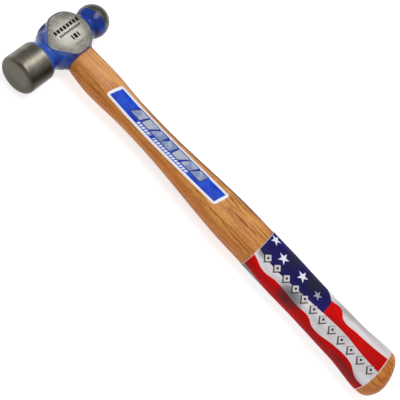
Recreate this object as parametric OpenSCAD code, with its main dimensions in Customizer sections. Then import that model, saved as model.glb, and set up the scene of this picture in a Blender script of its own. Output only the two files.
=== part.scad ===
// Ball peen hammer lying on its side.
// +X runs down the handle, +Y points at the ball, +Z is up, square to the cheeks.
// The origin is the middle of the lower cheek, right under the centre of the eye.

/* [Head] */
// Diameter of the striking end
poll_d = 19.5; // [18:0.1:22]
// Distance from the centre of the eye to the striking face
face_y = 32.5; // [29:0.1:35]
// Length of the full-diameter part of the striking end
poll_len = 14.9; // [12:0.1:16]
// Radius on the edge of the striking face
face_edge = 2.3; // [1:0.1:4]
// Radius of the slight dome of the striking face
face_dome = 68; // [40:1:200]
// Diameter of the neck behind the striking end
neck_d = 16.1; // [14:0.1:17.4]
// Diameter of the ball
ball_d = 16.7; // [15:0.1:18.4]
// Distance from the centre of the eye to the centre of the ball
ball_y = 20.5; // [18.6:0.1:22]
// Diameter of the throat between the eye and the ball
throat_d = 13; // [10:0.1:14.4]

/* [Eye boss] */
// Thickness over the two flat cheeks
cheek_t = 18.3; // [16:0.1:19.2]
// Radius of the boss halfway between the cheeks
boss_r = 11.9; // [11.6:0.1:12.6]
// Radius of the boss at the cheeks
cheek_r = 11.5; // [11:0.1:11.8]
// Distance from the centre of the eye to the flat top
boss_top = 11.6; // [11:0.1:11.8]
// Distance from the centre of the eye to the flat underside
boss_foot = 10.9; // [10:0.1:11.6]
// Distance from the centre of the eye to the blunt nose of the cheek
nose_y = 13.2; // [12.8:0.1:14]
// Width of that nose
nose_w = 5; // [3:0.1:6]

/* [Eye and wedges] */
// Length of the eye, along the head
eye_l = 10; // [9:0.1:10.4]
// Width of the eye
eye_w = 7; // [6:0.1:7.4]
// How much wider the eye is at the top, on each side
eye_flare = 0.4; // [0.2:0.1:0.6]
// Depth of the flared part
flare_depth = 9; // [5:0.5:11]
// Thickness of the wooden wedge at its top
wood_wedge_t = 2; // [1:0.1:2.6]
// Length of the wooden wedge
wood_wedge_l = 16; // [10:0.5:18]
// Thickness of the steel wedge at its top
steel_wedge_t = 1.6; // [0.8:0.1:2.4]
// Width of the steel wedge
steel_wedge_w = 5.6; // [4:0.1:6]
// Length of the steel wedge
steel_wedge_l = 9; // [5:0.5:11]

/* [Handle] */
// Distance from the centre of the eye to the end of the butt
handle_end = 222.2; // [210:0.1:245]
// Width just below the head, along the head
shoulder_w = 17.1; // [16.4:0.1:19]
// How far the handle draws in where it meets the head, on each side
shoulder_inset = 0.7; // [0:0.1:1.6]
// How far it leans towards the ball there
shoulder_shift = 0.7; // [0:0.1:1.2]
// Length over which the handle settles to its full section
shoulder_run = 16; // [8:1:20]
// Width of the thin waist
waist_w = 15.4; // [14:0.1:18]
// Width of the grip
grip_w = 22; // [20:0.1:26]
// Width at the widest part of the butt
butt_w = 25.6; // [23:0.1:29]
// How far the rounded end of the butt leans, per millimetre off its middle
butt_lean = 0.12; // [0:0.01:0.2]
// Length of the rounded end of the butt
butt_round = 8.2; // [6:0.1:14]
// Thickness of the handle as a share of its width
handle_flat = 0.79; // [0.7:0.01:0.9]
// How square the oval section is: 2 is an ellipse
handle_square = 2.3; // [2:0.1:3]

/* [Label and sleeve] */
// Distance from the centre of the eye to the label
label_start = 32; // [26:0.5:40]
// Length of the label
label_l = 72.2; // [50:0.1:76]
// How far the middle of the label sits off the middle of the handle, towards the ball
label_side = -1.3; // [-2:0.1:2]
// Width of the label
label_w = 9.4; // [6:0.1:10.5]
// How far the label's slanted ends lean along the handle
label_slant = 2.4; // [0:0.1:8]
// Thickness of the label
label_t = 0.1; // [0.05:0.01:0.3]
// Distance from the centre of the eye to the printed sleeve
sleeve_start = 133.2; // [122:0.1:160]
// Distance from the centre of the eye to the end of the sleeve
sleeve_end = 213.4; // [195:0.1:214]
// Thickness of the sleeve
sleeve_t = 0.2; // [0.1:0.05:0.5]

/* [Hidden] */

round_n = 96;
cheek_z = cheek_t / 2;
neck_r = neck_d / 2;
poll_r = poll_d / 2;
ball_r = ball_d / 2;
throat_r = throat_d / 2;
throat_y = ball_y - sqrt(ball_r * ball_r - throat_r * throat_r);
shoulder_y = face_y - poll_len;
shoulder_slope = 2.4;
neck_end = 12.8;
flare_y = 8.6;
flare_r = 9.9;
root_y = 7.8;
slant_start = 5.9;
skin_gap = 0.02;
section_points = 40;
dome_power = 2.5;
collar_w = 16.8;
collar_t = 13;
collar_y = 0.4;
collar_rise = 5.6;
collar_spread = 3.6;
crown_w = 12.6;
crown_t = 9.8;
crown_run = 4.6;
draft_angle = 5.7;
draft_turn = -44;
draft_gap = 10.05;
arc_steps = 8;
dome_step = 10.4;
handle_rings = 44;

// Points on an arc round (cx, cy) from angle a to angle b
function arc_points(cx, cy, r, a, b, steps) =
    [for (i = [0:steps]) let (t = a + (b - a) * i / steps) [cx + r * cos(t), cy + r * sin(t)]];

// A smooth step from 0 to 1
function ease(t) = t * t * (3 - 2 * t);

// Widths of the handle at stations along it: [distance from the eye, half width]
stations = [
    [boss_foot, shoulder_w / 2],
    [25, shoulder_w / 2 + 0.2],
    [49.5, waist_w / 2],
    [57, waist_w / 2],
    [124, grip_w / 2],
    [150, grip_w / 2 + 0.1],
    [166, grip_w / 2 - 0.1],
    [193.5, grip_w / 2 + 0.2],
    [handle_end - butt_round, butt_w / 2],
    [handle_end + 1, butt_w / 2],
];

// The station just before x
function station_at(x, i = 0) = i >= len(stations) - 2 || x < stations[i + 1][0] ? i : station_at(x, i + 1);

function full_half_width(x) =
    let (i = station_at(x), a = stations[i], b = stations[i + 1])
    a[1] + (b[1] - a[1]) * ease((x - a[0]) / (b[0] - a[0]));

// The rounded butt is an elliptical dome
function dome(x) = sqrt(max(0, 1 - pow(round_share(x), dome_power)));

// 1 where the handle meets the head, fading to 0 over the shoulder
function settle(x) = pow(max(0, 1 - (x - boss_foot) / shoulder_run), 2);

function half_width(x) = full_half_width(x) * dome(x) - shoulder_inset * settle(x);

function power(v, e) = sign(v) * pow(abs(v), e);

// Share of the rounded butt passed at x
function round_share(x) = max(0, (x - handle_end + butt_round) / butt_round);

// One point of the oval section at x, at angle a from +Y, lifted off the wood by skin
function surface_point(x, a, skin = 0) =
    let (w = half_width(x), e = 2 / handle_square)
    [
        x - butt_lean * round_share(x) * w * power(cos(a), e),
        w * power(cos(a), e) + skin * cos(a) + shoulder_shift * settle(x),
        cheek_z + w * handle_flat * power(sin(a), e) + skin * sin(a)
    ];

// Turns points drawn as [radius, distance towards the ball] into a solid round the head's axis
module turned(points) {
    translate([0, 0, cheek_z])
        rotate([-90, 0, 0])
            rotate_extrude($fn = round_n)
                polygon(points);
}

// Striking end and neck. The domed face starts the outline.
module striking_end() {
    dome_angle = asin((poll_r - face_edge) / face_dome);
    dome_rise = face_dome * (1 - cos(dome_angle));
    edge_y = face_edge + dome_rise - face_y;
    turned(concat(
        [[0, -face_y]],
        [for (i = [1:arc_steps]) let (t = dome_angle * i / arc_steps)
            [face_dome * sin(t), -face_y + face_dome * (1 - cos(t))]],
        arc_points(poll_r - face_edge, edge_y, face_edge, dome_angle - 90, 0, arc_steps),
        [[poll_r, -shoulder_y], [neck_r + 0.4, shoulder_slope - shoulder_y], [neck_r, -neck_end]],
        [[neck_r, 0], [0, 0]]
    ));
}

// Curved shoulders from the neck and the throat up to the boss, kept between the cheeks
module shoulders() {
    intersection() {
        turned(concat(
            [[0, -neck_end]],
            [for (i = [0:arc_steps]) let (t = i / arc_steps)
                [neck_r + (flare_r - neck_r) * t * t, -neck_end + (neck_end - flare_y) * t]],
            [for (i = [0:arc_steps]) let (t = i / arc_steps)
                [throat_r + (flare_r - throat_r) * (1 - t) * (1 - t), root_y + (throat_y - root_y) * t]],
            [[0, throat_y]]
        ));
        translate([-boss_top, -nose_y, 0])
            cube([boss_top + boss_foot, 2 * nose_y, cheek_t]);
    }
}

// Ball and the throat behind it
module ball_end() {
    start = -acos(throat_r / ball_r);
    turned(concat(
        [[0, 0], [throat_r, 0]],
        [for (p = arc_points(0, ball_y, ball_r, start, 90, 2 * arc_steps)) [max(0, p[0]), p[1]]]
    ));
}

// Outline of a cheek: round towards the ball, slanted to a blunt nose towards the face
module cheek_outline(r) {
    intersection() {
        circle(r = r, $fn = round_n);
        translate([-boss_top, -nose_y])
            square([boss_top + boss_foot, 2 * nose_y]);
    }
    polygon([
        [slant_start - nose_y - nose_w / 2, -slant_start], [-nose_w / 2, -nose_y],
        [nose_w / 2, -nose_y], [nose_y + nose_w / 2 - slant_start, -slant_start]
    ]);
}

// An oval ring round the handle's line: w wide along the head, t thick, its middle at y
function oval_ring(x, y, w, t) = [
    for (j = [0:section_points - 1])
        let (a = 360 * j / section_points, e = 2 / handle_square)
        [x, y + w / 2 * power(cos(a), e), cheek_z + t / 2 * power(sin(a), e)]
];

// The collar's ring at x, spread by the share grow
function collar_ring(x, grow) =
    oval_ring(x, collar_y, collar_w + 2 * collar_spread * grow, collar_t + collar_spread * grow);

// Oval collar under the boss that carries the handle's shoulder
module collar() {
    steps = 6;
    lofted(concat(
        [collar_ring(0, 0.6)],
        [for (i = [0:steps]) let (t = i / steps)
            collar_ring(boss_foot - collar_rise * (1 - t), 1 - ease(t))]
    ));
}

// Low crown on top of the boss that makes a flat land round the eye
module crown() {
    lofted([
        oval_ring(-boss_top, 0, crown_w, crown_t),
        oval_ring(-boss_top + crown_run, 0, crown_w + crown_run, crown_t + crown_run),
        oval_ring(0, 0, crown_w + crown_run, crown_t + crown_run)
    ]);
}

// Space cut off the boss beside the handle, where the forging is drawn in towards the lower cheek
module draft() {
    translate([0, 0, cheek_z])
        rotate([0, draft_angle, draft_turn])
            translate([draft_gap, -nose_y, -cheek_t])
                cube([nose_y, 2 * nose_y, 2 * cheek_t]);
}

// Body of the eye boss, slightly barrelled between two flat cheeks
module drum() {
    intersection() {
        linear_extrude(height = cheek_t)
            cheek_outline(boss_r);
        union() {
            translate([0, 0, cheek_z])
                rotate_extrude($fn = round_n)
                    polygon([
                        [0, -cheek_z], [cheek_r, -cheek_z],
                        [boss_r - 0.1, -cheek_z * 0.6], [boss_r, -cheek_z * 0.2],
                        [boss_r, cheek_z * 0.2], [boss_r - 0.1, cheek_z * 0.6],
                        [cheek_r, cheek_z], [0, cheek_z]
                    ]);
            translate([-boss_top, -nose_y - 1, 0])
                cube([boss_top + boss_foot, nose_y - slant_start, cheek_t]);
        }
    }
}

// The whole eye boss with no eye in it
module boss() {
    difference() {
        drum();
        draft();
    }
    collar();
    crown();
}

// The through eye: an oval slot that widens towards the top of the head
module eye() {
    run = (eye_l - eye_w) / 2;
    bottom = boss_foot + 2;
    flare_x = -boss_top + flare_depth;
    mouth = eye_flare * (flare_depth + 2) / flare_depth;
    translate([0, 0, cheek_z])
        rotate([0, 90, 0])
            translate([0, 0, -boss_top - 2]) {
                linear_extrude(height = boss_top + bottom + 2) {
                    square([eye_w, 2 * run], center = true);
                    for (side = [-1, 1])
                        translate([0, side * run])
                            circle(d = eye_w, $fn = round_n);
                }
                for (side = [-1, 1])
                    translate([0, side * run, 0])
                        cylinder(h = flare_depth + 2, r1 = eye_w / 2 + mouth, r2 = eye_w / 2, $fn = round_n);
                translate([0, run, 0])
                    rotate([90, 0, 0])
                        linear_extrude(height = 2 * run)
                            polygon([
                                [-eye_w / 2 - mouth, 0], [eye_w / 2 + mouth, 0],
                                [eye_w / 2, flare_depth + 2], [-eye_w / 2, flare_depth + 2]
                            ]);
            }
}

// A wedge that tapers from the top of the head down the eye: t thick in Z, w wide in Y
module taper(t, w, l) {
    translate([-boss_top, w / 2, cheek_z])
        rotate([90, 0, 0])
            linear_extrude(height = w)
                polygon([
                    [-1, -t / 2], [0, -t / 2], [l, -t / 8], [l, t / 8], [0, t / 2], [-1, t / 2]
                ]);
}

module wood_taper() {
    taper(wood_wedge_t, eye_l - 1, wood_wedge_l);
}

// The steel wedge crosses the wooden one
module steel_taper() {
    translate([0, 0, cheek_z])
        rotate([90, 0, 0])
            translate([0, 0, -cheek_z])
                taper(steel_wedge_t, steel_wedge_w, steel_wedge_l);
}

// Solid skin of rings joined in order, closed by a cap at each end
module lofted(rings) {
    n = len(rings[0]);
    points = [for (ring = rings) for (p = ring) p];
    last = (len(rings) - 1) * n;
    polyhedron(
        points = points,
        faces = concat(
            [[for (j = [0:n - 1]) j]],
            [for (i = [0:len(rings) - 2]) for (j = [0:n - 1])
                [i * n + j, (i + 1) * n + j, (i + 1) * n + (j + 1) % n, i * n + (j + 1) % n]],
            [[for (j = [0:n - 1]) last + n - 1 - j]]
        )
    );
}

function section_ring(x, skin = 0) =
    [for (j = [0:section_points - 1]) surface_point(x, 360 * j / section_points, skin)];

// The part of the handle that fills the eye, rooted a little way into the handle
module tenon() {
    intersection() {
        eye();
        union() {
            boss();
            translate([boss_foot - 1, -eye_l, 0])
                cube([2.5, 2 * eye_l, cheek_t]);
        }
    }
}

module head() {
    color([0.14, 0.27, 0.66])
        difference() {
            union() {
                striking_end();
                shoulders();
                ball_end();
                boss();
            }
            eye();
        }
}

module handle() {
    body_rings = [for (i = [0:handle_rings - 1])
        boss_foot + (handle_end - butt_round - boss_foot) * i / handle_rings];
    dome_rings = [for (i = [0:arc_steps]) handle_end - butt_round * (1 - sin(i * dome_step))];
    color([0.82, 0.57, 0.33]) {
        lofted([for (x = concat(body_rings, dome_rings)) section_ring(x)]);
        difference() {
            tenon();
            wood_taper();
            steel_taper();
        }
    }
}

module wood_wedge() {
    color([0.9, 0.76, 0.55])
        difference() {
            intersection() {
                wood_taper();
                boss();
            }
            steel_taper();
        }
}

module steel_wedge() {
    color([0.55, 0.55, 0.55])
        intersection() {
            steel_taper();
            boss();
        }
}

// Thin skin on the upper face of the handle with slanted ends
module label() {
    columns = 8;
    rows = 24;
    thick = skin_gap + label_t;
    spot = function (i, j, skin)
        let (
            y = label_side + label_w * (j / columns - 0.5),
            x = label_start + label_l * i / rows + label_slant * j / columns,
            w = half_width(x),
            rise = pow(1 - pow(abs(y) / w, handle_square), 1 / handle_square)
        )
        [x, y, cheek_z + w * handle_flat * rise + skin];
    color([0.16, 0.32, 0.82])
        lofted([for (i = [0:rows])
            concat(
                [for (j = [0:columns]) spot(i, j, skin_gap)],
                [for (j = [0:columns]) spot(i, columns - j, thick)]
            )
        ]);
}

// Printed film shrunk round the grip
module grip_sleeve() {
    rings = 20;
    n = section_points;
    length = sleeve_end - sleeve_start;
    inner = [for (i = [0:rings]) section_ring(sleeve_start + length * i / rings, skin_gap)];
    outer = [for (i = [0:rings]) section_ring(sleeve_start + length * i / rings, skin_gap + sleeve_t)];
    layer = n * (rings + 1);
    last = rings * n;
    color([0.8, 0.12, 0.16])
        polyhedron(
            points = concat([for (ring = inner) for (p = ring) p], [for (ring = outer) for (p = ring) p]),
            faces = concat(
                [for (i = [0:rings - 1]) for (j = [0:n - 1])
                    [i * n + j, i * n + (j + 1) % n, (i + 1) * n + (j + 1) % n, (i + 1) * n + j]],
                [for (i = [0:rings - 1]) for (j = [0:n - 1])
                    [layer + i * n + j, layer + (i + 1) * n + j,
                     layer + (i + 1) * n + (j + 1) % n, layer + i * n + (j + 1) % n]],
                [for (j = [0:n - 1]) [j, layer + j, layer + (j + 1) % n, (j + 1) % n]],
                [for (j = [0:n - 1])
                    [last + j, last + (j + 1) % n, layer + last + (j + 1) % n, layer + last + j]]
            )
        );
}

head();
handle();
wood_wedge();
steel_wedge();
label();
grip_sleeve();
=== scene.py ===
"""Ball peen hammer: the visual model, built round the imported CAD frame.

Shapes are worked out in millimetres in the frame's axes and scaled to metres when a mesh is made:
+X runs down the handle, +Y points at the ball, +Z is up, square to the cheeks.
"""
import math

import bmesh
import bpy
import numpy as np
from mathutils import Matrix, Vector


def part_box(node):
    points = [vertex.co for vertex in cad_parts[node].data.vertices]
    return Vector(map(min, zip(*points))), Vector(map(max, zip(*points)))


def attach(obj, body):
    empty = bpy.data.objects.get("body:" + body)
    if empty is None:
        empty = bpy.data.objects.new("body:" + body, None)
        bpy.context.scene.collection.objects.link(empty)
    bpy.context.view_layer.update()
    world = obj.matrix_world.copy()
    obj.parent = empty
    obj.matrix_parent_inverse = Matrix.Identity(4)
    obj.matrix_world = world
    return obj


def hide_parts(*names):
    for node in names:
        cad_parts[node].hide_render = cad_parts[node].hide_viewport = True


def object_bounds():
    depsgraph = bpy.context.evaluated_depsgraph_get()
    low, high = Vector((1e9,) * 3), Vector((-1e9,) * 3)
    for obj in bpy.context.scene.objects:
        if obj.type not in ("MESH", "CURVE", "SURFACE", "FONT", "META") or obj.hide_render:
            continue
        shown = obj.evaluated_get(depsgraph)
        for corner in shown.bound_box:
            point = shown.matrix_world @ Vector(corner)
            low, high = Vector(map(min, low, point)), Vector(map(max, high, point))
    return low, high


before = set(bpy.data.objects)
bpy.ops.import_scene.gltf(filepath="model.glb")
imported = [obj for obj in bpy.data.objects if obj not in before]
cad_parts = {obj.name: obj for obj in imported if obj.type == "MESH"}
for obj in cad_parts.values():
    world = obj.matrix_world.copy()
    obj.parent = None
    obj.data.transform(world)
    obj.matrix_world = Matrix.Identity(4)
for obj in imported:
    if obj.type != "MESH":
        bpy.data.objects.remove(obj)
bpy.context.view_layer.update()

MM = 0.001


def box_mm(node):
    """Lowest and highest corner of a CAD node, in millimetres."""
    low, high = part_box(node)
    return np.array(low) / MM, np.array(high) / MM


head_low, head_high = box_mm("head")
sleeve_low, sleeve_high = box_mm("grip_sleeve")

# Height of the middle plane, then distances from the eye's centre to the head's flat top, to its flat foot
# and to the end of the handle
MID = (head_low[2] + head_high[2]) / 2
TOP = -head_low[0]
FOOT = 10.9
BUTT = 222.2
# Thickness of the handle as a share of its width, and how square its ovals are: 2 is an ellipse
FLAT, SQUARE = 0.79, 2.3


# ---------------------------------------------------------------- meshes

def make_object(name, points, faces):
    """A mesh object from points in millimetres."""
    mesh = bpy.data.meshes.new(name)
    mesh.from_pydata((np.asarray(points, float) * MM).tolist(), [], faces)
    mesh.validate()
    mesh.update()
    obj = bpy.data.objects.new(name, mesh)
    bpy.context.scene.collection.objects.link(obj)
    return obj


def smooth(obj, angle):
    """Smooth shading, with edges sharper than the angle left crisp."""
    mesh = obj.data
    mesh.polygons.foreach_set("use_smooth", [True] * len(mesh.polygons))
    mesh.set_sharp_from_angle(angle=math.radians(angle))


def ring_skin(rings, start=None, end=None):
    """Points and faces of a closed skin over rings of points; each end closes on a pole or a flat cap."""
    rings = [np.asarray(r, float) for r in rings]
    n = len(rings[0])
    points = [p for ring in rings for p in ring]
    faces = []
    for i in range(len(rings) - 1):
        a, b = i * n, (i + 1) * n
        faces += [(a + j, a + (j + 1) % n, b + (j + 1) % n, b + j) for j in range(n)]
    last = (len(rings) - 1) * n
    if start is None:
        faces.append(tuple(range(n - 1, -1, -1)))
    else:
        points.append(np.asarray(start, float))
        faces += [(len(points) - 1, (j + 1) % n, j) for j in range(n)]
    if end is None:
        faces.append(tuple(last + j for j in range(n)))
    else:
        points.append(np.asarray(end, float))
        faces += [(len(points) - 1, last + j, last + (j + 1) % n) for j in range(n)]
    return points, faces


def outward(obj):
    """Turns the faces so that they all look out."""
    work = bmesh.new()
    work.from_mesh(obj.data)
    bmesh.ops.recalc_face_normals(work, faces=work.faces)
    work.to_mesh(obj.data)
    work.free()


def cut(obj, cutters, operation="DIFFERENCE"):
    """Applies exact booleans to the object's own mesh."""
    for cutter in cutters:
        modifier = obj.modifiers.new("cut", "BOOLEAN")
        modifier.operation = operation
        modifier.solver = "EXACT"
        modifier.object = cutter
    bpy.context.view_layer.update()
    graph = bpy.context.evaluated_depsgraph_get()
    mesh = bpy.data.meshes.new_from_object(obj.evaluated_get(graph))
    obj.modifiers.clear()
    obj.data = mesh


# ---------------------------------------------------------------- head shape

# Radii of the striking end (poll), neck, flare, throat and ball, with their places along Y
POLL_R, POLL_END, POLL_LEN = 9.75, 32.5, 14.9
FACE_EDGE, FACE_DOME = 2.3, 68.0
NECK_R, THROAT_R, FLARE_R = 8.05, 6.5, 9.9
BALL_R, BALL_Y = 8.35, 20.5
THROAT_Y = BALL_Y - math.sqrt(BALL_R ** 2 - THROAT_R ** 2)
SHOULDER_Y = -POLL_END + POLL_LEN
NECK_END, FLARE_Y, ROOT_Y = -12.8, -8.6, 7.8
# Where the plain turned neck gives way to the blended middle, and the farthest that the middle can reach
MIDDLE_Y, REACH = -14.4, 18.0
CHEEK = 9.15
BOSS_R, CHEEK_R = 11.9, 11.5
# Flat flanks of the eye boss: outward direction, distance from the middle, rounding of the corner
FLANKS = [
    ((-0.728, -0.685, 0.0), 10.3, 1.6),
    ((0.656, -0.755, 0.0), 11.5, 1.6),
    ((0.0, -1.0, 0.0), 13.2, 1.4),
    ((0.716, -0.691, -0.0993), 10.05, 1.2),
]
# Ovals of the collar that carries the handle and of the crown round the far end of the eye
COLLAR_Y, COLLAR_W, COLLAR_T, COLLAR_SPREAD, COLLAR_RISE = 0.4, 8.4, 6.5, 3.6, 5.6
CROWN_W, CROWN_T, CROWN_RUN = 6.3, 4.9, 4.6
EYE_L, EYE_W, EYE_FLARE, FLARE_DEPTH = 10.0, 7.0, 0.4, 9.0
# Gap between the tenon and the walls of the eye, and how far the tools stand out of the head
PLAY, OVERHANG = 0.02, 1.5


def soft_max(a, b, k):
    """Maximum with the corner rounded over a width k."""
    h = np.maximum(k - np.abs(a - b), 0) / k
    return np.maximum(a, b) + h * h * k / 4


def soft_min(a, b, k):
    """Minimum with the corner rounded over a width k."""
    return -soft_max(-a, -b, k)


def ramp(v, low, high):
    """0 below low, 1 above high, smooth between."""
    t = np.clip((v - low) / (high - low), 0, 1)
    return t * t * (3 - 2 * t)


def turned_radius(y):
    """Radius of the turned shape under the eye boss: neck, flare and throat."""
    neck_t = np.clip((y - NECK_END) / (FLARE_Y - NECK_END), 0, 1)
    neck = NECK_R + (FLARE_R - NECK_R) * neck_t ** 2
    throat_t = np.clip((y - ROOT_Y) / (THROAT_Y - ROOT_Y), 0, 1)
    throat = THROAT_R + (FLARE_R - THROAT_R) * (1 - throat_t) ** 2
    shoulder = (POLL_R - NECK_R) * (1 - ramp(y, SHOULDER_Y - 0.2, SHOULDER_Y + 4.4))
    return np.where(y < 0, neck + shoulder, throat)


def oval_distance(y, u, wide, deep):
    """Below zero inside an oval of half size wide and deep."""
    return ((np.abs(y / wide) ** SQUARE + np.abs(u / deep) ** SQUARE) ** (1 / SQUARE) - 1) * deep


def head_distance(x, y, u):
    """Below zero inside the middle of the head. u is the height above the middle plane."""
    turned = np.hypot(x, u) - turned_radius(y)
    barrel = CHEEK_R + (BOSS_R - CHEEK_R) * (1 - (u / CHEEK) ** 2)
    outline = np.hypot(x, np.maximum(y, 0)) - barrel
    for (side_x, side_y, side_u), distance, corner in FLANKS:
        outline = soft_max(outline, side_x * x + side_y * y + side_u * u - distance, corner)
    drum = soft_max(outline, np.abs(u) - CHEEK, 0.7)
    spread = COLLAR_SPREAD * (1 - ramp(x, FOOT - COLLAR_RISE, FOOT))
    collar = soft_max(oval_distance(y - COLLAR_Y, u, COLLAR_W + spread, COLLAR_T + spread / 2), -x, 0.5)
    rise = np.clip(x + TOP, 0, CROWN_RUN) / 2
    crown = soft_max(oval_distance(y, u, CROWN_W + rise, CROWN_T + rise), x, 0.5)
    body = soft_min(soft_min(turned, drum, 1.6), collar, 1.6)
    body = soft_min(body, crown, 0.8)
    body = np.maximum(body, np.abs(u) - CHEEK)
    body = soft_max(body, x - FOOT, 0.6)
    return soft_max(body, -x - TOP, 1.2)


def head_rings(count=288):
    """Rings of points round the head's axis from the striking face to the ball."""
    turn = np.linspace(0, 2 * math.pi, count, endpoint=False)
    cos, sin = np.cos(turn), np.sin(turn)

    def circle(y, r):
        return np.column_stack([r * cos, np.full(count, y), MID + r * sin])

    rings = []
    dome = math.asin((POLL_R - FACE_EDGE) / FACE_DOME)
    rise = FACE_DOME * (1 - math.cos(dome))
    for t in np.linspace(0.08, 1, 10):
        a = dome * t
        rings.append(circle(-POLL_END + FACE_DOME * (1 - math.cos(a)), FACE_DOME * math.sin(a)))
    for a in np.linspace(-84, 0, 14):
        c, s = math.cos(math.radians(a)), math.sin(math.radians(a))
        rings.append(circle(-POLL_END + rise + FACE_EDGE * (1 + s), POLL_R - FACE_EDGE + FACE_EDGE * c))
    for y in np.linspace(-POLL_END + rise + FACE_EDGE + 0.8, SHOULDER_Y - 1.0, 12):
        rings.append(circle(y, POLL_R))
    for y in np.arange(SHOULDER_Y - 0.6, MIDDLE_Y, 0.2):
        rings.append(circle(y, float(turned_radius(np.array(y)))))
    # The middle has no formula for its radius, so halving the span finds where the distance is zero
    grid_y = np.arange(MIDDLE_Y + 0.1, THROAT_Y + 0.01, 0.16)
    low = np.zeros((len(grid_y), count))
    high = np.full((len(grid_y), count), REACH)
    for _ in range(36):
        middle = (low + high) / 2
        inside = head_distance(middle * cos, grid_y[:, None], middle * sin) < 0
        low, high = np.where(inside, middle, low), np.where(inside, high, middle)
    for y, r in zip(grid_y, low):
        rings.append(np.column_stack([r * cos, np.full(count, y), MID + r * sin]))
    first = -math.acos(THROAT_R / BALL_R)
    for a in np.linspace(first, math.pi / 2, 50)[1:-1]:
        rings.append(circle(BALL_Y + BALL_R * math.sin(a), BALL_R * math.cos(a)))
    return rings


def eye_ring(x, gap=0.0, count=96):
    """The eye's outline at x: two half circles joined by straight sides."""
    r = EYE_W / 2 + EYE_FLARE * max(0.0, (-TOP + FLARE_DEPTH - x) / FLARE_DEPTH) - gap
    run = (EYE_L - EYE_W) / 2
    turn = np.linspace(0, 2 * math.pi, count, endpoint=False) + math.pi / count
    y = r * np.cos(turn)
    return np.column_stack([np.full(count, x), y + np.sign(y) * run, MID + r * np.sin(turn)])


def eye_tool(name, stations, gap=0.0):
    """A solid that fills the eye between the stations."""
    tool = make_object(name, *ring_skin([eye_ring(x, gap) for x in stations]))
    outward(tool)
    return tool


def build_head():
    """The forged head with its through eye, and the tenon that fills the eye, trimmed flush with the head."""
    head = make_object("hammer_head", *ring_skin(
        head_rings(), start=(0, -POLL_END, MID), end=(0, BALL_Y + BALL_R, MID)))
    outward(head)
    tenon = eye_tool("tenon_tool", (-TOP - OVERHANG, -TOP + FLARE_DEPTH, FOOT - 0.1), PLAY)
    cut(tenon, [head], "INTERSECT")
    cut(tenon, [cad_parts["wood_wedge"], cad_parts["steel_wedge"]])
    eye = eye_tool("eye_cutter", (-TOP - OVERHANG, -TOP + FLARE_DEPTH, FOOT + OVERHANG))
    cut(head, [eye])
    bpy.data.objects.remove(eye)
    smooth(head, 40)
    return head, tenon


# ---------------------------------------------------------------- handle shape

SHOULDER_W, WAIST_W, GRIP_W, BUTT_W, BUTT_ROUND = 17.1, 15.4, 22.0, 25.6, 8.2
BUTT_LEAN = 0.12
SHOULDER_INSET, SHOULDER_SHIFT, SHOULDER_RUN = 0.7, 0.7, 16.0
DOME_POWER = 2.5
STATIONS = [
    (FOOT, SHOULDER_W / 2),
    (25, SHOULDER_W / 2 + 0.2),
    (49.5, WAIST_W / 2),
    (57, WAIST_W / 2),
    (124, GRIP_W / 2),
    (150, GRIP_W / 2 + 0.1),
    (166, GRIP_W / 2 - 0.1),
    (193.5, GRIP_W / 2 + 0.2),
    (BUTT - BUTT_ROUND, BUTT_W / 2),
    (BUTT + 1, BUTT_W / 2),
]


def round_share(x):
    """Share of the rounded butt passed at x."""
    return max(0.0, (x - BUTT + BUTT_ROUND) / BUTT_ROUND)


def settle(x):
    """1 where the handle meets the head, fading to 0 over the shoulder."""
    return max(0.0, 1 - (x - FOOT) / SHOULDER_RUN) ** 2


def half_width(x):
    """Half the handle's width at x, along the head."""
    for (x0, w0), (x1, w1) in zip(STATIONS, STATIONS[1:]):
        if x < x1 or x1 > BUTT:
            t = (x - x0) / (x1 - x0)
            width = w0 + (w1 - w0) * t * t * (3 - 2 * t)
            break
    dome = math.sqrt(max(0.0, 1 - round_share(x) ** DOME_POWER))
    return width * dome - SHOULDER_INSET * settle(x)


def surface(x, angle, skin=0.0):
    """A point of the handle's oval section, lifted off the wood by skin.

    The angle, in degrees, turns from +Y to +Z.
    """
    a = math.radians(angle)
    w = half_width(x)
    c, s = math.cos(a), math.sin(a)
    e = 2 / SQUARE
    y = w * math.copysign(abs(c) ** e, c) + SHOULDER_SHIFT * settle(x)
    u = w * FLAT * math.copysign(abs(s) ** e, s)
    return (x - BUTT_LEAN * round_share(x) * y, y + skin * c, MID + u + skin * s)


def section(x, count=120, skin=0.0):
    """The ring of points round the handle at x."""
    return [surface(x, 360 * j / count, skin) for j in range(count)]


def build_handle(tenon):
    """The handle with its rounded butt, joined to the tenon."""
    body = list(np.linspace(FOOT + PLAY, BUTT - BUTT_ROUND, 190, endpoint=False))
    dome = [BUTT - BUTT_ROUND * (1 - math.sin(math.radians(a))) for a in np.linspace(0, 88.5, 30)]
    rings = [section(x) for x in body + dome]
    points, faces = ring_skin(rings, end=(BUTT, 0, MID))
    handle = make_object("hickory_handle", points, faces)
    outward(handle)
    root = eye_tool("tenon_root", (FOOT - 1.0, FOOT + OVERHANG), PLAY)
    cut(root, [tenon], "UNION")
    cut(handle, [root], "UNION")
    bpy.data.objects.remove(tenon)
    bpy.data.objects.remove(root)
    smooth(handle, 40)
    return handle


# ---------------------------------------------------------------- label and sleeve shapes

LABEL_START, LABEL_L, LABEL_W, LABEL_SIDE, LABEL_SLANT = 32.0, 72.2, 9.4, -1.3, 2.4
LABEL_CORNER, LABEL_RIM, LABEL_BULGE = 1.5, 0.07, 0.05
SLEEVE_SKIN, GLUE_GAP = 0.2, 0.02


def top_height(x, y):
    """Height of the handle's upper surface over the point (x, y)."""
    w = half_width(x)
    return MID + w * FLAT * (1 - (abs(y) / w) ** SQUARE) ** (1 / SQUARE)


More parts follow.
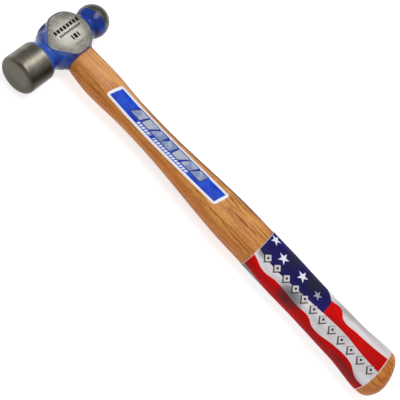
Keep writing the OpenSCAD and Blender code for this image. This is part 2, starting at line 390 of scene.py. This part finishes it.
def build_label():
    """A printed sticker with rounded corners that follows the wood."""
    columns, rows = 36, 240
    low, high = [], []
    for i in range(rows + 1):
        along = LABEL_L * i / rows
        past = max(0.0, LABEL_CORNER - along, LABEL_CORNER - (LABEL_L - along))
        inset = LABEL_CORNER - math.sqrt(max(0.0, LABEL_CORNER ** 2 - past ** 2))
        half = LABEL_W / 2 - inset
        for j in range(columns + 1):
            side = -half + 2 * half * j / columns
            x = LABEL_START + along + LABEL_SLANT * (side / LABEL_W + 0.5)
            y = LABEL_SIDE + side
            rounding = min(1.0, 4 * min(along, LABEL_L - along, half - abs(side)) / LABEL_CORNER)
            low.append((x, y, top_height(x, y) + GLUE_GAP))
            high.append((x, y, top_height(x, y) + LABEL_RIM + LABEL_BULGE * rounding))
    width = columns + 1
    count = len(low)
    faces = []
    for i in range(rows):
        for j in range(columns):
            a, b = i * width + j, (i + 1) * width + j
            faces.append((count + a, count + b, count + b + 1, count + a + 1))
            faces.append((a, a + 1, b + 1, b))
    border = list(range(width)) + [i * width + columns for i in range(1, rows + 1)]
    border += [rows * width + j for j in range(columns - 1, -1, -1)]
    border += [i * width for i in range(rows - 1, 0, -1)]
    for a, b in zip(border, border[1:] + border[:1]):
        faces.append((a, b, count + b, count + a))
    label = make_object("handle_label", low + high, faces)
    outward(label)
    smooth(label, 50)
    return label


def build_sleeve():
    """Printed film shrunk round the grip."""
    start, end = sleeve_low[0], sleeve_high[0]
    stations = np.linspace(start, end, 150)
    count = 180
    outer = [section(x, count, SLEEVE_SKIN) for x in stations]
    inner = [section(x, count, GLUE_GAP) for x in stations]
    points = [p for ring in outer for p in ring] + [p for ring in inner for p in ring]
    layer = count * len(stations)
    faces = []
    for i in range(len(stations) - 1):
        for j in range(count):
            a, b = i * count + j, i * count + (j + 1) % count
            faces.append((a, b, b + count, a + count))
            faces.append((layer + a, layer + a + count, layer + b + count, layer + b))
    for base, flip in ((0, False), (layer - count, True)):
        for j in range(count):
            a, b = base + j, base + (j + 1) % count
            faces.append((a, layer + a, layer + b, b) if not flip else (a, b, layer + b, layer + a))
    sleeve = make_object("grip_film", points, faces)
    outward(sleeve)
    smooth(sleeve, 50)
    return sleeve


# ---------------------------------------------------------------- material tools

class Value:
    """A number that a material works out at each point. Arithmetic on it adds Math nodes."""

    def __init__(self, tree, socket):
        self.tree, self.socket = tree, socket

    @staticmethod
    def join(operation, *terms):
        """The operation applied to numbers and Values."""
        tree = next(t.tree for t in terms if isinstance(t, Value))
        node = tree.nodes.new("ShaderNodeMath")
        node.operation = operation
        for slot, term in zip(node.inputs, terms):
            if isinstance(term, Value):
                tree.links.new(term.socket, slot)
            else:
                slot.default_value = term
        return Value(tree, node.outputs[0])

    def __add__(self, other):
        return Value.join("ADD", self, other)

    def __radd__(self, other):
        return Value.join("ADD", other, self)

    def __sub__(self, other):
        return Value.join("SUBTRACT", self, other)

    def __rsub__(self, other):
        return Value.join("SUBTRACT", other, self)

    def __mul__(self, other):
        return Value.join("MULTIPLY", self, other)

    def __rmul__(self, other):
        return Value.join("MULTIPLY", other, self)

    def __truediv__(self, other):
        return Value.join("DIVIDE", self, other)

    def __pow__(self, other):
        return Value.join("POWER", self, other)

    def __abs__(self):
        return Value.join("ABSOLUTE", self)


def highest(*terms):
    result = terms[0]
    for term in terms[1:]:
        result = Value.join("MAXIMUM", result, term)
    return result


def sine(v):
    return Value.join("SINE", v)


def fade(v, low, high):
    """0 at low, 1 at high, smooth between; low may be the larger."""
    node = v.tree.nodes.new("ShaderNodeMapRange")
    node.interpolation_type = "SMOOTHSTEP"
    v.tree.links.new(v.socket, node.inputs["Value"])
    for name, edge in (("From Min", low), ("From Max", high)):
        if isinstance(edge, Value):
            v.tree.links.new(edge.socket, node.inputs[name])
        else:
            node.inputs[name].default_value = edge
    return Value(v.tree, node.outputs["Result"])


def blob(x, y, centre, size):
    """A soft round patch: 1 at the centre, fading to nothing."""
    return fade(((x - centre[0]) / size[0]) ** 2.0 + ((y - centre[1]) / size[1]) ** 2.0, 1.0, 0.0)


def linear(rgb):
    """A colour given as 0 to 255 on screen, in the linear numbers that shaders take."""
    parts = [c / 255 for c in rgb]
    return tuple([c / 12.92 if c <= 0.04045 else ((c + 0.055) / 1.055) ** 2.4 for c in parts] + [1.0])


class Paint:
    """A material under construction: coordinates in millimetres, noises, colour mixes and one shader."""

    def __init__(self, name):
        self.material = bpy.data.materials.new(name)
        self.material.use_nodes = True
        self.tree = self.material.node_tree
        self.shader = self.tree.nodes["Principled BSDF"]
        coords = self.tree.nodes.new("ShaderNodeTexCoord")
        split = self.tree.nodes.new("ShaderNodeSeparateXYZ")
        self.tree.links.new(coords.outputs["Object"], split.inputs[0])
        x, y, z = (Value(self.tree, split.outputs[i]) for i in range(3))
        self.x, self.y, self.u = x * (1 / MM), y * (1 / MM), z * (1 / MM) - float(MID)

    def vector(self, x, y, z):
        node = self.tree.nodes.new("ShaderNodeCombineXYZ")
        for slot, part in zip(node.inputs, (x, y, z)):
            if isinstance(part, Value):
                self.tree.links.new(part.socket, slot)
            else:
                slot.default_value = part
        return node.outputs[0]

    def noise(self, x, y, z, detail=3.0, roughness=0.55):
        """Fractal noise at a point measured in noise cells; about 0.5 on average."""
        node = self.tree.nodes.new("ShaderNodeTexNoise")
        self.tree.links.new(self.vector(x, y, z), node.inputs["Vector"])
        node.inputs["Scale"].default_value = 1.0
        node.inputs["Detail"].default_value = detail
        node.inputs["Roughness"].default_value = roughness
        return Value(self.tree, node.outputs["Fac"])

    def scatter(self, w):
        """A random number from 0 to 1 for each whole number w."""
        node = self.tree.nodes.new("ShaderNodeTexWhiteNoise")
        node.noise_dimensions = "1D"
        self.tree.links.new(w.socket, node.inputs["W"])
        return Value(self.tree, node.outputs["Value"])

    def blend(self, under, over, amount):
        """The colour over laid on the colour under; each is a socket or an on-screen colour."""
        node = self.tree.nodes.new("ShaderNodeMix")
        node.data_type = "RGBA"
        sockets = {s.identifier: s for s in node.inputs}
        if isinstance(amount, Value):
            self.tree.links.new(amount.socket, sockets["Factor_Float"])
        else:
            sockets["Factor_Float"].default_value = amount
        for name, colour in (("A_Color", under), ("B_Color", over)):
            if isinstance(colour, tuple):
                sockets[name].default_value = linear(colour)
            else:
                self.tree.links.new(colour, sockets[name])
        return next(s for s in node.outputs if s.identifier == "Result_Color")

    def layers(self, colour, coats):
        """The colour with coats of (colour, amount) laid on it in order."""
        for over, amount in coats:
            colour = self.blend(colour, over, amount)
        return colour

    def curve(self, v, low, high, points, out_low, out_high):
        """A smooth curve through (input, output) points, each within its low and high."""
        node = self.tree.nodes.new("ShaderNodeFloatCurve")
        handles = node.mapping.curves[0].points
        spots = [((a - low) / (high - low), (b - out_low) / (out_high - out_low)) for a, b in points]
        while len(handles) < len(spots):
            handles.new(0.5, 0.5)
        for handle, spot in zip(handles, spots):
            handle.location = spot
        node.mapping.update()
        unit = (v - low) / (high - low)
        self.tree.links.new(unit.socket, node.inputs["Value"])
        return Value(self.tree, node.outputs[0]) * (out_high - out_low) + out_low

    def wire(self, name, value):
        """Joins a Value or a socket to one of the shader's inputs."""
        socket = value.socket if isinstance(value, Value) else value
        self.tree.links.new(socket, self.shader.inputs[name])

    def fixed(self, **values):
        """Sets the shader's inputs to plain values."""
        for name, value in values.items():
            self.shader.inputs[name.replace("_", " ")].default_value = value

    def bump(self, height, depth):
        """Bump from a height of 0 to 1; depth in millimetres."""
        node = self.tree.nodes.new("ShaderNodeBump")
        node.inputs["Strength"].default_value = 1.0
        node.inputs["Distance"].default_value = depth * MM
        self.tree.links.new(height.socket, node.inputs["Height"])
        self.tree.links.new(node.outputs[0], self.shader.inputs["Normal"])


def dress(obj, paint):
    """Gives the object one material."""
    obj.data.materials.clear()
    obj.data.materials.append(paint.material)


# ---------------------------------------------------------------- materials

# Where the enamel starts on the neck and ends on the ball
POLL_PAINT, BALL_PAINT = -17.7, 20.0


def comb(v, pitch):
    """Distance from the middle of each cell of a row, as a share of the pitch."""
    return abs(Value.join("FRACT", v / pitch) - 0.5)


def box_mask(p, q, centre, half, slant=0.0, soft=0.12):
    """1 inside a slanted rectangle of half size half round centre, 0 outside."""
    along = abs(p - centre[0] - (q - centre[1]) * slant)
    across = abs(q - centre[1])
    return fade(highest(along - half[0], across - half[1]), soft, -soft)


def head_material():
    """Ground steel on the striking end, ball and cheeks; blue enamel between them."""
    p = Paint("ground_steel_and_enamel")
    x, y, u = p.x, p.y, p.u
    wander = (p.noise(x / 2.0, y / 2.0, u / 2.0, 2.0) - 0.5) * 0.5
    poll = fade(y + wander, POLL_PAINT + 0.15, POLL_PAINT - 0.15)
    ball = fade(y - x * 0.17 + wander, BALL_PAINT - 0.2, BALL_PAINT + 0.2)
    cheek = fade(abs(u) + wander * 0.12, CHEEK - 0.2, CHEEK - 0.1)
    inner = fade(abs(y), 15.0, 14.0)
    bare = highest(poll, ball, cheek * inner)

    patches = p.noise(x / 7.0, y / 7.0, u / 7.0, 3.0)
    grain = p.noise(x / 0.5, y / 0.5, u / 0.5, 2.0)
    turned = p.noise(x / 5.0, y / 0.35, u / 5.0, 3.0, 0.6)
    ground = p.noise((x + y) / 7.0, (x - y) / 2.2, u / 3.0, 3.0, 0.6)
    blotch = p.noise(x / 5.0, y / 5.0, u / 5.0, 3.0)
    steel = p.blend((104, 99, 89), (136, 131, 120), fade(patches * 0.7 + turned * 0.3, 0.35, 0.68))
    flat = p.blend((102, 101, 94), (134, 132, 124), fade(blotch * 0.6 + ground * 0.4, 0.38, 0.62))
    flat = p.layers(flat, [
        # Painted highlight: the cheek flats are lighter in the middle.
        ((192, 190, 180), blob(y, x, (-0.5, 0.5), (10.5, 9.5)) * 0.72),
        # Painted shade: the cheek flats darken towards the foot.
        ((112, 109, 101), fade(x, 3.0, 10.0) * 0.5),
    ])

    # Four rows of plain bars stand in for the stamped lines
    small_bars = comb(y, 1.25)
    stamp = highest(
        box_mask(y, x, (1.3, -3.2), (8.2, 0.95)) * fade(comb(y, 2.1), 0.12, 0.16),
        box_mask(y, x, (1.4, -0.6), (6.9, 0.5)) * fade(small_bars, 0.14, 0.2),
        box_mask(y, x, (1.5, 2.9), (2.3, 1.2)) * fade(comb(y + 0.8, 2.3), 0.12, 0.17),
        box_mask(y, x, (1.0, 6.5), (2.6, 0.45)) * fade(small_bars, 0.2, 0.3) * 0.45)
    stamp = stamp * fade(u, CHEEK - 0.25, CHEEK - 0.15)
    steel = p.layers(steel, [
        # Painted shade: the striking end darkens on its underside and on the side towards the foot.
        ((44, 41, 34), highest(fade(u, 1.0, -4.0), fade(x, 4.6, 8.2)) * poll * 0.85),
        ((78, 76, 71), ball * 0.65),
        # Painted shade on the striking face.
        ((84, 80, 71), fade(y, -30.6, -31.8) * 0.75),
        (flat, cheek * inner),
        ((118, 114, 105), fade(grain, 0.58, 0.8) * 0.5),
        ((22, 21, 20), stamp),
    ])

    pool = p.noise(x / 9.0, y / 9.0, u / 9.0, 2.0)
    enamel = p.blend((12, 34, 106), (20, 58, 152), fade(pool, 0.35, 0.7))
    enamel = p.layers(enamel, [
        # Painted highlight on the top of the neck.
        ((58, 98, 186), fade(u, 4.5, 8.5) * fade(y, -6.0, -10.0) * 0.7),
        # Painted shade: the enamel darkens on the head's lower side.
        ((8, 12, 42), fade(u, 3.4, -4.4) * 0.88),
        # Painted shade in the throat between the eye boss and the ball.
        ((14, 16, 32), fade(abs(y - 14.2), 3.4, 1.6) * fade(u, 6.5, 1.5) * 0.92),
    ])
    p.wire("Base Color", p.blend(enamel, steel, bare))
    p.wire("Metallic", bare * (1.0 - stamp) * 0.95)
    rough = 0.22 + bare * (0.08 + patches * 0.14) + cheek * inner * 0.18 + stamp * 0.3
    p.wire("Roughness", rough)
    p.fixed(Specular_IOR_Level=0.28)
    orange_peel = p.noise(x / 1.6, y / 1.6, u / 1.6, 2.0)
    height = bare * (turned * 0.3 + grain * 0.25) * (1.0 - cheek) + cheek * (ground * 0.12 + grain * 0.1)
    height = height + (1.0 - bare) * (orange_peel * 0.5 + 0.9) - stamp * 1.4
    p.bump(height, 0.09)
    return p


def wood_material():
    """Lacquered hickory: growth rings about an axis outside the handle, with fibres and pores along it."""
    p = Paint("lacquered_hickory")
    x, y, u = p.x, p.y, p.u
    drift = p.noise(x / 45.0, y / 9.0, u / 9.0, 2.0) - 0.5
    sway = p.noise(x / 22.0, y / 4.0, u / 4.0, 2.0) - 0.5
    radius = Value.join("SQRT", (y + 17.0) ** 2.0 + (u + 21.0) ** 2.0)
    ring = Value.join("FRACT", radius / 2.7 + drift * 3.2 + sway * 0.5)
    late = fade(ring, 0.35, 0.93) * fade(ring, 1.0, 0.93)
    tone = p.noise(x / 60.0 + 3.0, y / 5.0, u / 5.0, 3.0)
    fibre = p.noise(x / 16.0, y / 0.8, u / 0.8, 3.0, 0.65)
    pores = p.noise(x / 3.2, y / 0.2, u / 0.2, 2.0, 0.6)
    mottle = p.noise(x / 5.0, y / 3.0, u / 3.0, 3.0)
    streak = p.noise(x / 26.0 + 9.0, y / 1.5, u / 1.5, 2.0)
    speck = p.noise(x / 1.8, y / 0.6, u / 0.6, 2.0)

    # Painted shade: the lower -Y side of the handle turns a deeper orange.
    side = fade(y, -1.0, -8.5) * fade(u, 7.5, 2.0)
    # Painted shade: a dark brown band along the +Y flank, strongest at the waist.
    edge = y - u * 0.9 + (fibre - 0.5) * 1.5
    waist = fade(x, 36.0, 56.0) * fade(x, 130.0, 108.0)
    # Painted shade on the underside of the handle.
    shaded_underside = fade(u + y * 0.25, -2.8, -4.6)
    head_end = fade(x, 50.0, 18.0) * fade(abs(y - 0.5), 8.0, 3.0)
    wood = p.blend((200, 128, 54), (220, 156, 84), fade(tone + mottle * 0.15, 0.42, 0.75))
    p.wire("Base Color", p.layers(wood, [
        ((164, 86, 24), late * 0.6),
        ((118, 58, 14), fade(fibre, 0.52, 0.7) * 0.85),
        ((232, 172, 96), fade(fibre, 0.44, 0.28) * 0.6),
        ((100, 50, 16), fade(streak, 0.55, 0.7) * 0.65),
        ((150, 84, 30), fade(speck, 0.5, 0.72) * 0.4),
        ((236, 184, 116), fade(speck, 0.46, 0.3) * 0.3),
        ((74, 38, 14), fade(pores, 0.6, 0.76) * 0.55),
        ((184, 102, 24), side * 0.6),
        ((84, 44, 18), fade(edge, -0.9, 1.7) * (0.3 + 0.6 * waist)),
        ((110, 60, 22), shaded_underside * 0.35),
        ((178, 92, 24), fade(x, 212.0, 214.0) * 0.45),
        ((218, 158, 104), head_end * 0.5),
    ]))
    p.wire("Roughness", 0.36 + fibre * 0.14 + late * 0.06)
    p.fixed(Specular_IOR_Level=0.2, Coat_Weight=0.02, Coat_Roughness=0.2)
    p.bump(fibre * 0.5 + pores * 0.35 + (1.0 - late) * 0.25, 0.05)
    return p


def label_material():
    """Blue print with a pale border, plain slanted silver blocks and a row of light dashes."""
    p = Paint("printed_label")
    x, y = p.x, p.y
    side = y - LABEL_SIDE
    along = x - LABEL_START - (side / LABEL_W + 0.5) * LABEL_SLANT
    inner = box_mask(along, side, (LABEL_L / 2, -0.25), (LABEL_L / 2 - 1.5, LABEL_W / 2 - 1.25), 0.0, 0.1)
    mottle = p.noise(x / 4.0, y / 4.0, p.u / 4.0, 2.0)
    blue = p.blend((4, 44, 176), (6, 78, 206), fade(mottle, 0.35, 0.7))
    # The pale border greys towards +Y: painted shade.
    paper = p.blend((236, 236, 242), (214, 214, 226), fade(y, 1.0, 3.6))
    face = p.blend(paper, blue, inner)

    slope, block_pitch, block_middle = 0.3, 6.6, (36.4, 0.75)
    lean = along - side * slope
    cell = (lean - 2 * block_pitch) / block_pitch
    pick = p.scatter(Value.join("FLOOR", cell))
    block = comb(cell, 1.0) + (pick - 0.5) * (side - block_middle[1]) * 0.09
    navy = box_mask(along, side, block_middle, (23.5, 2.75), slope, 0.1) * fade(block, 0.5, 0.47)
    silver = box_mask(along, side, block_middle, (23.0, 2.3), slope, 0.1) * fade(block, 0.43, 0.4)
    metal = p.blend((168, 176, 192), (120, 136, 178), fade(mottle + (pick - 0.5) * 0.3, 0.4, 0.62))
    dashes = box_mask(along, side, (35.8, -2.75), (16.5, 0.62), 0.0, 0.08) * fade(comb(lean, 1.65), 0.38, 0.3)
    p.wire("Base Color", p.layers(face, [
        ((24, 32, 110), navy),
        (metal, silver),
        ((216, 224, 244), dashes * fade(abs(lean - 29.6), 0.9, 1.1)),
    ]))
    p.wire("Roughness", 0.36 + mottle * 0.12)
    p.fixed(Specular_IOR_Level=0.12)
    p.bump(mottle * 0.4 + silver * 0.5, 0.02)
    return p


def star(x, y, centre, radius, tilt=20.0):
    """1 inside a five-pointed star, turned by tilt degrees."""
    dx, dy = x - centre[0], y - centre[1]
    reach = Value.join("SQRT", dx * dx + dy * dy)
    angle = Value.join("ARCTAN2", dy, dx) - math.radians(tilt)
    fifth = math.radians(36)
    folded = abs(Value.join("WRAP", angle, fifth, -fifth))
    edge = reach * Value.join("COSINE", math.radians(72) - folded)
    return fade(edge, radius * 0.309 + 0.05, radius * 0.309 - 0.05)


def sleeve_material():
    """Wavy stripes and a star field; turn is the angle round the grip in degrees, from +Y to +Z."""
    p = Paint("printed_sleeve")
    x, y, u = p.x, p.y, p.u
    turn = Value.join("WRAP", Value.join("ARCTAN2", u / FLAT, y) * (180 / math.pi), 270.0, -90.0)
    start = float(sleeve_low[0])
    end = float(sleeve_high[0])

    def boundary(points):
        return p.curve(x, start - 2, end + 2, points, 0.0, 270.0)

    low_red = boundary([(131.2, 178), (142, 190), (152, 203), (165, 212), (215.4, 214)])
    low_white = boundary([(131.2, 132), (135.1, 136), (142, 147), (150, 141), (164, 146), (171.8, 144),
                          (177.6, 158), (190, 147), (200.8, 145), (209, 163), (215.4, 155)])
    canton = boundary([(131.2, 113), (145, 122), (156, 119), (170, 113), (180, 109), (190, 107), (202, 112),
                       (215.4, 114)])
    high_red = boundary([(131.2, 66), (175, 68), (180.9, 63), (185.5, 84), (194.7, 81), (207, 78),
                         (215.4, 72)])
    wave = sine(x / 9.0) * 4.0

    def between(low, high):
        return fade(turn - low, -0.7, 0.7) * fade(high - turn, -0.7, 0.7)

    red = highest(
        between(low_white, low_red), between(high_red, canton), between(wave - 20.0, wave + 14.0),
        between(wave - 86.0, wave - 52.0), between(wave + 240.0, wave + 262.0))
    field_end = 175.6 - fade(turn, 80.0, 30.0) * 5.5
    field = between(wave - 50.0, canton) * fade(x - field_end, 0.3, -0.3)
    shade = p.noise(x / 16.0, turn / 26.0, 1.5, 2.0)
    # Printed shadows of the flag's folds: middle, size and strength
    creases = [
        ((149.0, 60.0), (6.5, 38.0), 0.7),
        ((163.5, 62.0), (8.0, 42.0), 0.8),
        ((159.5, 146.0), (9.0, 46.0), 0.75),
        ((201.0, 176.0), (14.0, 30.0), 0.35),
        ((184.0, 56.0), (9.0, 22.0), 0.3),
        ((194.0, 40.0), (18.0, 24.0), 0.22),
        ((136.0, 116.0), (4.0, 16.0), 0.6),
    ]
    folds = highest(*(blob(x, turn, middle, size) * strength for middle, size, strength in creases))

    face = p.blend((222, 217, 219), (196, 190, 194), fade(shade, 0.35, 0.7))
    scarlet = p.blend((214, 5, 1), (176, 5, 4), fade(shade, 0.3, 0.7))
    # Painted shade: the red darkens down the -Y flank.
    face = p.blend(face, p.blend(scarlet, (136, 4, 3), fade(turn, 138.0, 176.0) * 0.45), red)
    face = p.blend(face, p.blend((30, 26, 100), (24, 22, 74), fade(shade, 0.3, 0.7)), field)
    bright = [((136.4, 5.1), 3.1), ((144.8, 0.6), 3.2), ((157.2, 1.4), 3.2)]
    faint = star(x, y, (168.3, 0.3), 2.6) * 0.4
    above = highest(*(star(x, y, centre, radius) for centre, radius in bright), faint) * fade(u, 0.0, 1.0)
    unseen = [(142.0, 4.0), (155.0, 5.0), (167.5, 4.0)]
    below = highest(*(star(x, y, centre, 3.0) for centre in unseen)) * fade(u, 0.0, -1.0)

    pitch = 6.4
    cell = (x - 136.2) / pitch
    across = Value.join("FRACT", cell) * pitch - pitch / 2
    rise = y + 4.9 + (x - 134.0) * 0.026

    def lozenge(px, py, grow):
        """1 inside a diamond, larger by grow."""
        return fade(abs(px) + abs(py), 2.2 + grow, 2.0 + grow)

    inside = fade(x, end - 1.5, end - 2.0) * fade(x, 136.0, 136.4)
    rim = highest(fade(x, start + 0.55, start + 0.35) * 0.6, fade(x, end - 0.5, end - 0.3))
    p.wire("Base Color", p.layers(face, [
        ((40, 38, 44), folds),
        # Painted shade: the white and blue print darkens low on the -Y flank, where the grip turns under.
        ((58, 52, 56), fade(turn, 166.0, 180.0) * (1.0 - red) * 0.7),
        ((226, 226, 240), highest(above, below * field)),
        ((34, 36, 32), lozenge(across + 0.1, rise + 0.35, 0.45) * inside * 0.9),
        ((206, 202, 204), lozenge(across, rise, -0.1) * inside),
        ((60, 60, 58), lozenge(across, rise, -1.3) * inside),
        ((214, 206, 200), rim),
    ]))
    film = p.noise(x / 6.0, y / 3.0, u / 3.0, 3.0)
    p.wire("Roughness", 0.48 + film * 0.16)
    p.fixed(Specular_IOR_Level=0.06)
    p.bump(film * 0.8, 0.08)
    return p


def wedge_wood_material():
    """Raw end grain."""
    p = Paint("wedge_end_grain")
    rays = p.noise(p.x / 3.0, p.y / 0.4, p.u / 1.6, 3.0)
    specks = p.noise(p.x / 1.0, p.y / 0.25, p.u / 0.25, 2.0)
    tone = p.blend((206, 164, 108), (168, 118, 66), fade(rays, 0.4, 0.7))
    p.wire("Base Color", p.blend(tone, (96, 62, 32), fade(specks, 0.6, 0.75) * 0.7))
    p.wire("Roughness", 0.6 + specks * 0.2)
    p.bump(rays * 0.5 + specks * 0.5, 0.06)
    return p


def wedge_steel_material():
    """Rough steel with a little rust."""
    p = Paint("rough_wedge_steel")
    rust = p.noise(p.x / 1.5, p.y / 1.5, p.u / 1.5, 4.0)
    scale = p.noise(p.x / 0.4, p.y / 0.4, p.u / 0.4, 2.0)
    p.wire("Base Color", p.blend((140, 136, 130), (104, 82, 66), fade(rust, 0.52, 0.72) * 0.6))
    p.wire("Metallic", fade(rust, 0.75, 0.55))
    p.wire("Roughness", 0.42 + scale * 0.25)
    p.bump(scale, 0.05)
    return p


# ---------------------------------------------------------------- pieces

hammer_head, eye_tenon = build_head()
dress(hammer_head, head_material())
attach(hammer_head, "root")
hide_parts("head")

hickory_handle = build_handle(eye_tenon)
dress(hickory_handle, wood_material())
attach(hickory_handle, "root")
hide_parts("handle")

handle_label = build_label()
dress(handle_label, label_material())
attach(handle_label, "root")
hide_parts("label")

grip_film = build_sleeve()
dress(grip_film, sleeve_material())
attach(grip_film, "root")
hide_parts("grip_sleeve")

dress(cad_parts["wood_wedge"], wedge_wood_material())
dress(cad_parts["steel_wedge"], wedge_steel_material())


# ---------------------------------------------------------------- floor, light and camera

def make_floor():
    """A pale floor just under the hammer."""
    low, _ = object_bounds()
    level = low.z / MM - 0.02
    half = 3000.0
    corners = [(-half, -half, level), (half, -half, level), (half, half, level), (-half, half, level)]
    floor = make_object("studio_floor", corners, [(0, 1, 2, 3)])
    p = Paint("pale_floor")
    soft = p.noise(p.x / 300.0, p.y / 300.0, 0.0, 2.0)
    p.wire("Base Color", p.blend((206, 206, 206), (200, 200, 201), soft))
    p.fixed(Roughness=0.85, Specular_IOR_Level=0.2, Emission_Color=(1, 1, 1, 1), Emission_Strength=0.72)
    dress(floor, p)


def area_light(name, place, aim, size, power, tint=(1.0, 1.0, 1.0)):
    """A rectangular soft light; place, aim and size in millimetres."""
    lamp = bpy.data.lights.new(name, "AREA")
    lamp.shape = "RECTANGLE"
    lamp.size, lamp.size_y = size[0] * MM, size[1] * MM
    lamp.energy = power
    lamp.color = tint
    obj = bpy.data.objects.new(name, lamp)
    bpy.context.scene.collection.objects.link(obj)
    obj.location = Vector(place) * MM
    direction = (Vector(aim) - Vector(place)).normalized()
    obj.rotation_euler = direction.to_track_quat("-Z", "Y").to_euler()


def pale_world():
    """Light from all round, darker from below."""
    world = bpy.data.worlds.new("pale_studio")
    bpy.context.scene.world = world
    world.use_nodes = True
    tree = world.node_tree
    coords = tree.nodes.new("ShaderNodeTexCoord")
    split = tree.nodes.new("ShaderNodeSeparateXYZ")
    ramp_node = tree.nodes.new("ShaderNodeValToRGB")
    tree.links.new(coords.outputs["Generated"], split.inputs[0])
    tree.links.new(split.outputs[2], ramp_node.inputs[0])
    below, above = ramp_node.color_ramp.elements
    below.position, below.color = 0.0, (0.25, 0.25, 0.26, 1)
    above.position, above.color = 0.8, (0.7, 0.7, 0.7, 1)
    tree.links.new(ramp_node.outputs[0], tree.nodes["Background"].inputs[0])
    tree.nodes["Background"].inputs[1].default_value = 0.75


def make_camera():
    """The camera stands over the striking face's side of the handle and leans with the hammer."""
    data = bpy.data.cameras.new("photo_camera")
    data.sensor_width = 36.0
    data.lens = 85.5
    camera = bpy.data.objects.new("photo_camera", data)
    bpy.context.scene.collection.objects.link(camera)
    back = Vector((-0.0233, -0.5511, 0.8341)).normalized()
    up = Vector((-0.7266, 0.5824, 0.3644))
    right = up.cross(back).normalized()
    up = back.cross(right)
    turn = Matrix((right, up, back)).transposed()
    place = Vector((87.74, -251.44, 382.03)) * MM
    camera.matrix_world = Matrix.Translation(place) @ turn.to_4x4()
    bpy.context.scene.camera = camera


make_camera()
make_floor()
pale_world()
area_light("key_light", (20, 160, 680), (80, 0, 0), (300, 520), 3.0)
area_light("side_light", (250, -600, 250), (100, 0, 0), (600, 300), 0.2)
bpy.context.scene.view_settings.view_transform = "Standard"
